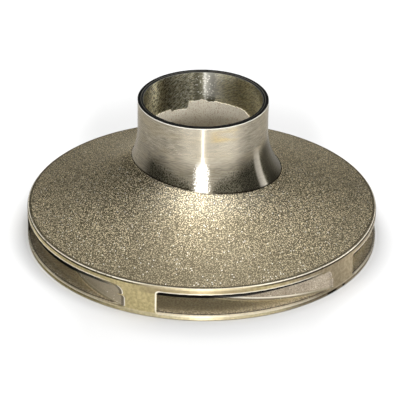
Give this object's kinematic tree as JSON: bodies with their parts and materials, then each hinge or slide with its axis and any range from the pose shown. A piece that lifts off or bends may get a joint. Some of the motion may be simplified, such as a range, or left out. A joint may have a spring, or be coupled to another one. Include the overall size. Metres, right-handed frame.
{
  "type": "circulator pump impeller",
  "caption": "Enclosed radial-flow pump impeller with a domed front shroud, a turned suction neck, swept vanes and a keyed hub, in cast bronze.",
  "frame": {"origin": "centre of the flat back face, on the shaft axis", "axes": "+Z along the shaft axis towards the suction neck; -Y faces the viewer of the picture and +X is its right; the hub's keyway faces +Y"},
  "size_m": [0.165, 0.165, 0.071],
  "materials": {
    "cast_bronze": "bead-blasted sand casting, grainy, satin",
    "machined_bronze": "turned, with fine tool lines"
  },
  "bodies": {
    "root": {"front_shroud": "cast_bronze", "suction_neck": "machined_bronze", "back_shroud": "cast_bronze", "hub": "machined_bronze", "vane_1": "cast_bronze", "vane_2": "cast_bronze", "vane_3": "cast_bronze", "vane_4": "cast_bronze", "vane_5": "cast_bronze"}
  },
  "joints": []
}
